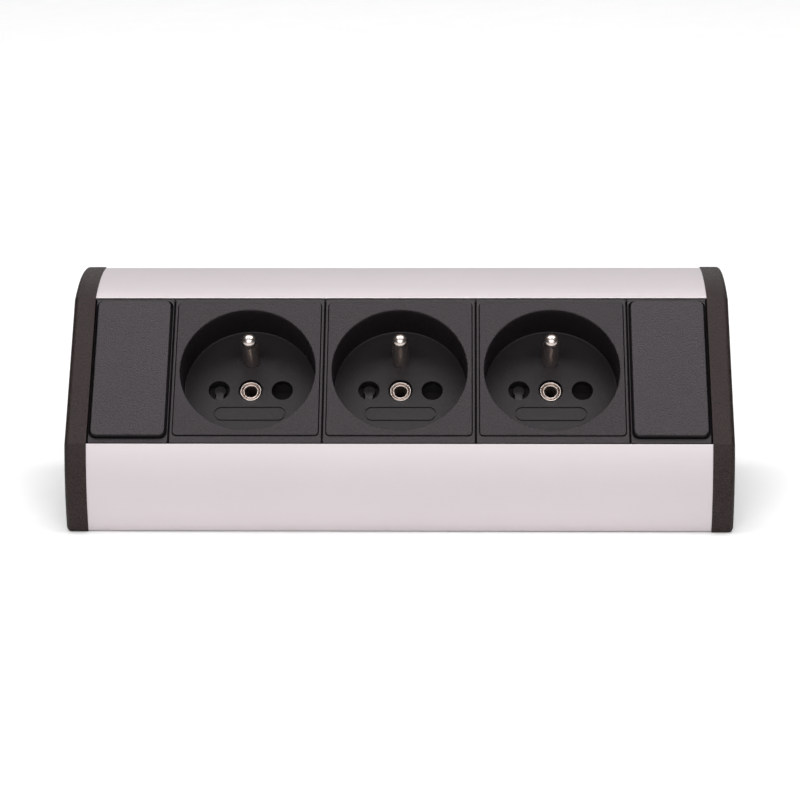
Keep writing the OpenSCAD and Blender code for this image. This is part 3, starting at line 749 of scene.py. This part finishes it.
def make_housing():
    edge, inner_edge = 0.2 * MM, 0.3 * MM
    deep, proud = -30 * MM, 2 * MM
    reach = HOUSING_END
    past = 2 * reach
    body = prism("housing", section_outline(METAL_RADIUS, CAP_RIM, 0, edge), -reach, reach)
    inside = section_outline(METAL_RADIUS - SKIN, CAP_RIM + SKIN, RAIL_FLOOR, inner_edge)
    hollow = prism("hollow", inside, -past, past)
    combine(hollow, [rod_x("port", p, PORT_RADIUS, -1.5 * past, 1.5 * past, SCREW_SIDES)
                     for p in PORTS])
    cutters = [hollow,
               slanted_block("window", RAIL_WINDOW / 2, deep, proud, past),
               slanted_block("step", LIP_HEIGHT / 2, -SEAT_DEPTH, SEAT_DEPTH, past)]
    combine(body, cutters + port_cutters(past) + wall_cutters())
    place(body, Matrix.Identity(4), "housing_profile", "strip", "satin_aluminium", sharp=30)


def cap_cutter(name, spot):
    """A screw hole with a countersink, for the right cap."""
    hole, head, depth = 1.9 * MM, 3.4 * MM, 2 * MM
    behind, before, flared = -20 * MM, 5 * MM, 0.12 * MM
    rim = head + flared
    cutter = lathe(name, [(0, behind), (hole, behind), (hole, -depth), (head, 0), (rim, flared),
                          (rim, before), (0, before)], SCREW_SIDES)
    cutter.data.transform(at_cap(spot))
    return cutter


def cap_rib():
    """The rib that locates a cap inside the section, clear of its opening and ports."""
    fit, thickness, root = 0.2 * MM, 1.5 * MM, 0.5 * MM
    low, hollow_low = RAIL_FLOOR - 1 * MM, RAIL_FLOOR - 3 * MM
    port_room, clear_half, clear_reach = PORT_RADIUS + 0.6 * MM, 27 * MM, 20 * MM
    outer = SKIN + fit
    inner = outer + thickness
    start, past = HOUSING_END - CAP_RIB, HOUSING_END - 2 * CAP_RIB
    rib = prism("rib", section_outline(METAL_RADIUS - outer, CAP_RIM + outer, low, root),
                start, HOUSING_END + root)
    outline = section_outline(METAL_RADIUS - inner, CAP_RIM + inner, hollow_low, root)
    hollow = prism("rib hollow", outline, past, HOUSING_END + 2 * root)
    clear = slanted_block("clear", clear_half, -clear_reach, clear_reach, 2 * HOUSING_END)
    ports = [rod_x("port", p, port_room, past, HOUSING_END + 2 * root) for p in PORTS]
    return combine(rib, [hollow, clear, *ports])


def make_caps():
    chamfer, step, corner = 0.15 * MM, 0.04 * MM, 0.5 * MM
    levels = [(chamfer, HOUSING_END), (step, HOUSING_END + step), (0, HOUSING_END + chamfer)]
    levels += [(inset, HALF_LENGTH - drop) for inset, drop in quarter(CAP_ROUND, 8)]
    loops = []
    for inset, x in levels:
        outline = section_outline(CAP_RADIUS - inset, inset, CAP_RIM - inset, corner)
        loops.append([(x, y, z) for y, z in outline])
    cap = rings("cap", loops)
    combine(cap, [cap_rib()], "UNION")
    combine(cap, [cap_cutter("screw hole", p) for p in PORTS])
    place_ends(cap, "end_cap", "cap_plastic", sharp=32)


def screw_profile(head, top):
    """A countersunk head, a shank and a rolled thread, from the tip to the head."""
    shank, length, pitch = PORT_BORE - 0.05 * MM, 20.4 * MM, 1.1 * MM
    thread_start, plain = 0.6 * MM, 4 * MM
    root, tip, crest_start, crest_end = 0.82, 0.6, 0.42, 0.55
    neck, neck_level, neck_round = 1.8 * MM, -2 * MM, 0.2 * MM
    profile = [(0, -length), (shank * tip, -length)]
    for i in range(int((length - plain) / pitch)):
        low = -length + thread_start + i * pitch
        profile += [(shank * root, low), (shank, low + pitch * crest_start),
                    (shank, low + pitch * crest_end)]
    edge = head - 0.1 * MM
    return profile + [(shank, neck_level - neck_round), (neck, neck_level), (edge, top - 0.2 * MM),
                      (head, top - 0.12 * MM), (edge, top), (0, top)]


def make_cap_screws():
    """Countersunk screws with a cross recess and a rolled thread."""
    head, top = 3.2 * MM, -0.1 * MM
    arm, arm_half = 1.7 * MM, 0.35 * MM
    low, high = top - 1.3 * MM, top + 1 * MM
    profile = screw_profile(head, top)
    screws = []
    for spot in PORTS:
        screw = lathe("screw", profile, SCREW_SIDES)
        cross = [box_between("cross", (-x, -y, low), (x, y, high))
                 for x, y in ((arm, arm_half), (arm_half, arm))]
        combine(screw, cross)
        screw.data.transform(at_cap(spot))
        screws.append(screw)
    place_ends(joined("screws", screws), "cap_screws", "zinc_screw", sharp=30)

# ---- Sockets ----


def clips(name, spans):
    """Snap clips that reach under the rails, between places along X."""
    post_thickness, hook_reach, fit, edge = 2.5 * MM, 1 * MM, 0.1 * MM, 0.2 * MM
    root = RAIL_WINDOW / 2 - fit
    hook = RAIL_WINDOW / 2 + hook_reach
    back = root - post_thickness
    low = RAIL_FLOOR - 2.1 * MM
    post_top, hook_top = FRAME_FLOOR + 0.3 * MM, RAIL_FLOOR - fit
    made = []
    for start, end in spans:
        for up in (-1, 1):
            post = box_between(name, (start, up * back, low), (end, up * root, post_top), edge)
            foot = box_between(name, (start, up * back, low), (end, up * hook, hook_top), edge)
            made.append(combine(post, [foot], "UNION"))
    return made


def module_body(width, end_gap=0.0):
    """A module's outer plate, with a foot that closes the gap to its neighbours below the surface.

    end_gap is the extra gap on the +X side, next to an end cap.
    """
    corner, edge, foot_corner, foot_thickness = 0.4 * MM, 0.09 * MM, 0.3 * MM, 0.35 * MM
    foot_width, foot_height = width - 0.03 * MM, LIP_HEIGHT - 0.05 * MM
    body = plate("module", width - MODULE_GAP - end_gap, FRAME_HEIGHT, corner, FRAME_FLOOR, 0,
                 top=edge, rise=FRAME_RISE)
    body.data.transform(Matrix.Translation((-end_gap / 2, 0, 0)))
    foot = plate("foot", foot_width, foot_height, foot_corner, FRAME_FLOOR,
                 FRAME_FLOOR + foot_thickness)
    return combine(body, [foot], "UNION")


def make_socket_frame():
    upper_gap, corner, seat, edge = 0.12 * MM, 1.3 * MM, 0.05 * MM, 0.1 * MM
    clip_start, clip_end = 14 * MM, 20 * MM
    window_corner, window_floor = 1 * MM, -5 * MM
    body = module_body(SOCKET_PITCH)
    pocket = plate("pocket", PANEL_WIDTH + 2 * PANEL_GAP, PANEL_HEIGHT + PANEL_GAP + upper_gap,
                   corner, -PANEL_DEPTH - seat, 0, top=-edge,
                   rise=PANEL_RISE - (PANEL_GAP - upper_gap) / 2)
    window = plate("window", 2 * CUP_RADIUS + 0.1 * MM, 2 * CUP_RADIUS + 0.3 * MM, window_corner,
                   window_floor, 1 * MM)
    combine(body, [pocket, window])
    spans = [(side * clip_start, side * clip_end) for side in (-1, 1)]
    return combine(body, clips("clip", spans), "UNION")


def make_socket_face():
    """The panel and its recess, with the live holes and the seats of the pin and the rivet."""
    edge, plate_corner, cup_edge = 0.18 * MM, 1.1 * MM, 0.4 * MM
    rim_round, floor_round, hole_round, pocket_round = 0.35 * MM, 0.4 * MM, 0.2 * MM, 0.15 * MM
    fit, cup_top = 0.05 * MM, -0.2 * MM
    under, over = FLOOR_BACK - 1 * MM, FLOOR + 1 * MM
    body = plate("face", PANEL_WIDTH, PANEL_HEIGHT, plate_corner, -PANEL_DEPTH, PANEL_RAISE,
                 top=edge, rise=PANEL_RISE)
    profile = [(0, FLOOR_BACK), (CUP_RADIUS - cup_edge, FLOOR_BACK),
               (CUP_RADIUS, FLOOR_BACK + cup_edge), (CUP_RADIUS, cup_top), (0, cup_top)]
    cup = lathe("cup", profile, RECESS_SIDES)
    combine(body, [cup], "UNION")
    profile = [(0, FLOOR)]
    profile += [(RECESS_RADIUS - i, FLOOR + d) for i, d in reversed(quarter(floor_round, 6))]
    profile += [(RECESS_RADIUS + i, PANEL_RAISE - d) for i, d in flare(rim_round, 5)]
    profile.append((0, PANEL_RAISE + 1 * MM))
    cutters = [lathe("recess", profile, RECESS_SIDES)]
    for side in (-1, 1):
        shape = [(0, under), (LIVE_RADIUS, under)]
        shape += [(LIVE_RADIUS + i, FLOOR - d) for i, d in flare(hole_round, 4)]
        shape.append((0, over))
        cutters.append(lathe("live hole", shape, HOLE_SIDES, (side * LIVE_X, 0)))
    tail = EARTH_TAIL + fit
    shape = [(0, under), (tail, under), (tail, over), (0, over)]
    cutters.append(lathe("earth hole", shape, BORE_SIDES, (0, EARTH_RISE)))
    pocket, bore = RIVET_RIM + 0.4 * MM, RIVET_RADIUS + fit
    seat = FLOOR - RIVET_POCKET
    shape = [(0, under), (bore, under), (bore, seat), (pocket, seat)]
    shape += [(pocket + i, FLOOR - d) for i, d in flare(pocket_round, 4)]
    shape.append((0, over))
    cutters.append(lathe("rivet pocket", shape, HOLE_SIDES))
    cutters.append(rating_groove())
    return combine(body, cutters)


def rating_groove():
    """A fine groove around the blank rating panel."""
    width, height, below = 21.6 * MM, 4.7 * MM, 7.9 * MM
    groove, depth, above_floor = 0.4 * MM, 0.32 * MM, 0.2 * MM
    end = height / 2 - 0.01 * MM
    outer = plate("groove", width, height, end, FLOOR - depth, FLOOR + above_floor, rise=-below)
    inner = plate("island", width - 2 * groove, height - 2 * groove, end - groove,
                  FLOOR - 2 * depth, FLOOR + 1 * MM, rise=-below)
    return combine(outer, [inner])


def make_earth_pin():
    """A turned pin with a tapered shoulder and a flat dome."""
    nose, curve, taper, tail = 2.1 * MM, 2.5 * MM, 0.9 * MM, -35.6 * MM
    tail_edge, foot_edge, bend, lift, small = 0.2 * MM, 0.1 * MM, 0.12 * MM, 0.05 * MM, 0.04 * MM
    top = FLOOR + EARTH_LENGTH
    foot = FLOOR + 0.02 * MM
    nose_foot = top - curve + sqrt(curve ** 2 - nose ** 2)
    shoulder = nose_foot - taper
    profile = [(0, tail), (EARTH_TAIL - tail_edge, tail), (EARTH_TAIL, tail + tail_edge),
               (EARTH_TAIL, foot), (EARTH_RADIUS - foot_edge, foot),
               (EARTH_RADIUS, foot + foot_edge), (EARTH_RADIUS, shoulder - bend),
               (EARTH_RADIUS - small, shoulder + lift),
               (nose + lift, nose_foot - bend), (nose, nose_foot - small)]
    dome = angles(acos(nose / curve), pi / 2, 12)[:-1]
    profile += [(curve * cos(t), top - curve + curve * sin(t)) for t in dome]
    profile.append((0, top))
    return lathe("earth pin", profile, centre=(0, EARTH_RISE))


def bead(centre, level, radius, start, end, steps=6):
    """Points over a rolled bead, from its outer side to its inner one, with angles in degrees."""
    turns = angles(radians(start), radians(end), steps)
    return [(centre + radius * cos(t), level + radius * sin(t)) for t in turns]


def make_rivet():
    """A hollow rivet: a rolled outer bead, a groove, an inner bead and a funnel mouth."""
    top = FLOOR - RIVET_SINK
    back = FLOOR - RIVET_POCKET + 0.05 * MM
    tail, tail_rim, tail_thickness, tail_edge = -33.6 * MM, 2.9 * MM, 0.6 * MM, 0.3 * MM
    tail_end = tail - tail_thickness
    rim, ring, ring_drop = 0.24 * MM, 0.22 * MM, 0.4 * MM
    groove, groove_drop, pitch = 0.44 * MM, 0.85 * MM, 0.84 * MM
    funnel, funnel_curve, bore_drop = 1.4 * MM, 1.3, 2 * MM
    profile = [(RIVET_BORE, tail_end + 0.2 * MM), (RIVET_BORE + 0.15 * MM, tail_end),
               (tail_rim - tail_edge, tail_end), (tail_rim, tail_end + tail_edge), (tail_rim, tail),
               (RIVET_RADIUS, tail), (RIVET_RADIUS, back), (RIVET_RIM, back)]
    outer = RIVET_RIM - rim
    profile += bead(outer, top - rim, rim, 0, 170)
    profile.append((outer - groove, top - groove_drop))
    inner = outer - pitch
    profile += bead(inner, top - ring_drop, ring, 10, 170)
    mouth = inner - ring - 0.02 * MM
    throat = RIVET_BORE - 0.02 * MM
    steps = 5
    for i in range(steps + 1):
        t = i / steps
        profile.append((mouth + (throat - mouth) * t, top - ring_drop - funnel * t ** funnel_curve))
    profile.append((RIVET_BORE, top - bore_drop))
    return lathe("rivet", profile)


def softened_prism(outline, start, end, edge=0.25 * MM):
    """A solid along X with this (v, w) outline, and its two end faces drawn in."""
    middle = Vector((sum(p[0] for p in outline), sum(p[1] for p in outline))) / len(outline)
    loops = []
    for inset, x in ((edge, start), (0, start + edge), (0, end - edge), (edge, end)):
        loop = []
        for p in outline:
            inward = (middle - Vector(p)).normalized() * inset
            loop.append((x, p[0] + inward.x, p[1] + inward.y))
        loops.append(loop)
    return rings("softened", loops)


def make_tongue(low, high, base, top):
    """The tongue behind the left hole: a round end on a stem, falling slightly towards the end."""
    radius, stem, fall = 1.9 * MM, 1.25 * MM, 1.1 * MM
    edge, root, steps = 0.35 * MM, 0.5 * MM, 24
    centre = high - radius
    start = -acos(stem / radius)
    turns = angles(start, pi - start, steps)
    head = [(radius * cos(t), centre + radius * sin(t)) for t in turns]
    outline = [(stem, low), *head, (-stem, low)]
    loops = [[(x - LIVE_X, v, base - root) for x, v in outline]]
    for inset, drop in quarter(edge, 4):
        scale = 1 - inset / radius
        loop = []
        for x, v in outline:
            slope = fall * (v - low) / (high - low)
            drawn = centre + (v - centre) * scale if v > centre else v
            loop.append((x * scale - LIVE_X, drawn, top - slope - drop))
        loops.append(loop)
    return rings("tongue", loops)


def make_shutter():
    """Two pads and their bar: a round-ended tongue on the left and a steep slope on the right."""
    high_top = FLOOR_BACK - 0.4 * MM
    floor = high_top - 6.2 * MM
    pad_half, low, high = 3.8 * MM, -4.4 * MM, 3.4 * MM
    steep_top, nose, level = high_top - 1.4 * MM, 0.9 * MM, 2.2 * MM
    base, bar_top = high_top - 2.8 * MM, high_top - 2.6 * MM
    bar_low, bar_edge = -7.4 * MM, 0.15 * MM
    slope = [(low, floor), (high, floor), (high, floor + nose), (low + level, steep_top),
             (low, steep_top)]
    steep = softened_prism(slope, LIVE_X - pad_half, LIVE_X + pad_half)
    block = [(low, floor), (high, floor), (high, base), (low, base)]
    flat = softened_prism(block, -LIVE_X - pad_half, -LIVE_X + pad_half)
    tongue = make_tongue(low, high, base, high_top)
    bar = box_between("bar", (-LIVE_X - pad_half, bar_low, floor),
                      (LIVE_X + pad_half, low + 0.1 * MM, bar_top), bar_edge)
    return combine(bar, [steep, flat, tongue], "UNION")


def make_sockets():
    makers = (("socket_frame", make_socket_frame, "module_plastic", 35, "strip"),
              ("socket_face", make_socket_face, "panel_plastic", 35, "strip"),
              ("earth_pin", make_earth_pin, "nickel", 40, "strip"),
              ("centre_rivet", make_rivet, "nickel", 40, "strip"),
              ("shutter", make_shutter, "shutter_plastic", 30, "{}_shutter"))
    place_modules(makers, SOCKETS, copy_of)


def make_spring():
    """A coil spring of round wire along the slope, below the shutter's bar."""
    coils, steps, sides = 6, 20, 10
    radius, wire = 1.3 * MM, 0.22 * MM
    climb = -SPRING_REACH / (coils * tau)
    loops = []
    for i in range(coils * steps + 1):
        turn = tau * i / steps
        along = SPRING_TOP - SPRING_REACH * i / (coils * steps)
        outward = Vector((cos(turn), 0, sin(turn)))
        heading = Vector((-radius * sin(turn), climb, radius * cos(turn)))
        across = heading.normalized().cross(outward)
        centre = Vector((0, along, SPRING_LEVEL)) + outward * radius
        loops.append([centre + outward * p + across * q for p, q in circle(wire, sides)])
    return rings("spring", loops)


def make_springs():
    """A spring under each shutter with its own mesh; real springs flatten as shutters slide."""
    for side, x in SOCKETS.items():
        matrix = face_matrix(x)
        spring = place(make_spring(), matrix, side + "_shutter_spring", "strip", "spring_steel")
        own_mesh(spring)

# ---- Blank modules ----


def make_blank_frame():
    end_gap, corner, seat, edge = 0.2 * MM, 1.9 * MM, 0.1 * MM, 0.12 * MM
    ledge_x, ledge_y, clip_half = 1.2 * MM, 0.8 * MM, 9.5 * MM
    low, high = -5 * MM, 1 * MM
    opening = COVER_WIDTH + 2 * COVER_GAP
    body = module_body(BLANK_WIDTH, end_gap)
    pocket = plate("pocket", opening, COVER_HEIGHT + 2 * COVER_GAP, corner, -PANEL_DEPTH - seat, 0,
                   top=-edge, rise=COVER_RISE)
    half_x, half_y = opening / 2 - ledge_x, RAIL_WINDOW / 2 - ledge_y
    window = box_between("window", (-half_x, -half_y, low), (half_x, half_y, high))
    combine(body, [pocket, window])
    return combine(body, clips("clip", [(-clip_half, clip_half)]), "UNION")


def make_blank_cover():
    """A thick plate with softly rounded edges and four legs."""
    corner, edge = 1.7 * MM, 0.28 * MM
    leg_width, leg_thickness, leg_length, leg_edge = 2.4 * MM, 1.2 * MM, 8 * MM, 0.2 * MM
    body = plate("cover", COVER_WIDTH, COVER_HEIGHT, corner, -PANEL_DEPTH, COVER_RAISE, top=edge,
                 rise=COVER_RISE, steps=5)
    leg_x, leg_y = COVER_WIDTH / 2 - 1.5 * MM, RAIL_WINDOW / 2 - 2.7 * MM
    root, tip = -PANEL_DEPTH + 0.4 * MM, -PANEL_DEPTH - leg_length
    legs = []
    for side, up in ((-1, -1), (-1, 1), (1, -1), (1, 1)):
        inner = (side * (leg_x - leg_width), up * (leg_y - leg_thickness), tip)
        legs.append(box_between("leg", (side * leg_x, up * leg_y, root), inner, leg_edge))
    return combine(body, legs, "UNION")


def make_blanks():
    makers = (("blank_frame", make_blank_frame, "module_plastic", 35, "strip"),
              ("blank_cover", make_blank_cover, "cover_plastic", 35, "{}_blank_cover"))
    place_modules(makers, BLANKS, mirrored)


def make_grommet():
    """A rubber bush with a rounded mouth."""
    bore = INLET_RADIUS
    neck, flange, edge = bore + 1.75 * MM, bore + 3.25 * MM, 0.3 * MM
    behind, inner, mouth = -2.1 * MM, -7 * MM, 0.5 * MM
    sleeve, flange_back = neck - 0.6 * MM, behind - 1.6 * MM
    profile = [(bore, inner + edge), (bore + edge, inner), (sleeve - edge, inner),
               (sleeve, inner + edge), (sleeve, flange_back), (flange - edge, flange_back),
               (flange, flange_back + edge), (flange, behind), (neck, behind)]
    profile += [(neck - i, -d) for i, d in quarter(edge, 4)]
    profile += [(bore + i, -d) for i, d in reversed(quarter(mouth, 4))]
    grommet = lathe("grommet", profile)
    matrix = Matrix.Translation(INLET_CENTRE) @ Matrix.Rotation(-pi / 2, 4, "X")
    place(grommet, matrix, "inlet_grommet", "strip", "grommet_rubber", sharp=40)


make_housing()
make_caps()
make_cap_screws()
make_sockets()
make_springs()
make_blanks()
make_grommet()

# ---- Stage, light and camera ----


def make_floor():
    """A pale floor that turns up far behind the strip."""
    half, back, height, turn, steps = 6.0, 5.0, 4.0, 1.5, 12
    bend = [(back - turn + turn * sin(t), turn - turn * cos(t))
            for t in angles(0, pi / 2, steps)]
    profile = [(-half, 0.0), *bend, (back, height)]
    bm = bmesh.new()
    left = [bm.verts.new((-half, y, z)) for y, z in profile]
    right = [bm.verts.new((half, y, z)) for y, z in profile]
    for i in range(len(profile) - 1):
        bm.faces.new((left[i], right[i], right[i + 1], left[i + 1]))
    floor = new_object("floor", bm)
    floor.data.shade_smooth()
    darker, lighter, roughness = (0.96, 0.96, 0.96), (0.98, 0.98, 0.98), 0.9
    material, tree, shader = new_material("floor_white")
    grain = noise(tree, 40.0, 2.0)
    colour = mix(tree, spread(tree, grain, 0, 1), darker, lighter)
    tree.links.new(colour, shader.inputs["Base Color"])
    shader.inputs["Roughness"].default_value = roughness
    floor.data.materials.append(material)


def direction_of(azimuth, elevation):
    """From the strip towards a place, in radians; azimuth 0 is in front and grows to the right."""
    level = cos(elevation)
    return Vector((sin(azimuth) * level, -cos(azimuth) * level, sin(elevation)))


def softbox(name, azimuth, elevation, distance, size, power):
    """A rectangular light that faces the strip, with its angles in degrees."""
    direction = direction_of(radians(azimuth), radians(elevation))
    light = linked(name, bpy.data.lights.new(name, "AREA"))
    light.data.shape = "RECTANGLE"
    light.data.size, light.data.size_y = size
    light.data.energy = power
    light.location = Vector((0, 0, TOP / 2)) + direction * distance
    light.rotation_euler = (-direction).to_track_quat("-Z", "Y").to_euler()


def make_light():
    """Soft light mostly from above, with weaker light from the front and from behind."""
    world_colour, world_strength = (1.0, 0.99, 0.995, 1.0), 0.03
    world = bpy.data.worlds.new("studio")
    world.use_nodes = True
    background = world.node_tree.nodes["Background"]
    background.inputs["Color"].default_value = world_colour
    background.inputs["Strength"].default_value = world_strength
    bpy.context.scene.world = world
    lights = (
        # name, azimuth, elevation, distance, size, power
        ("front_low", 0, 22, 2.6, (2.6, 0.8), 20.5),
        ("front_high", 0, 40, 2.4, (2.6, 0.9), 15.0),
        ("overhead", 0, 90, 2.0, (2.6, 1.0), 37.5),
        ("overhead_back", 180, 75, 2.0, (2.4, 0.9), 8.5),
        ("behind", 180, 25, 2.4, (2.6, 0.6), 9.5),
        ("front_lamp", -27, 36, 1.4, (0.12, 0.3), 0.5),
        ("front_lamp", 27, 36, 1.4, (0.12, 0.3), 0.5),
    )
    for name, *values in lights:
        softbox(name, *values)


def make_camera():
    """From the front, well above the strip, with almost no tilt."""
    turn, height, roll = radians(1.32), radians(18.02), radians(-0.37)
    distance = 810.8 * MM
    target = Vector((0.05 * MM, FACE.y, 34.44 * MM))
    sensor_width, lens, near_limit = 36.0, 122.9715, 0.01
    back = direction_of(turn, height)
    right = Vector((cos(turn), sin(turn), 0))
    up = back.cross(right)
    x_axis = right * cos(roll) + up * sin(roll)
    y_axis = up * cos(roll) - right * sin(roll)
    camera = linked("camera", bpy.data.cameras.new("camera"))
    rotation = Matrix((x_axis, y_axis, back)).transposed().to_4x4()
    camera.matrix_world = Matrix.Translation(target + back * distance) @ rotation
    camera.data.sensor_width = sensor_width
    camera.data.lens = lens
    camera.data.clip_start = near_limit
    bpy.context.scene.camera = camera


make_floor()
make_light()
make_camera()
bpy.context.scene.view_settings.view_transform = "Standard"
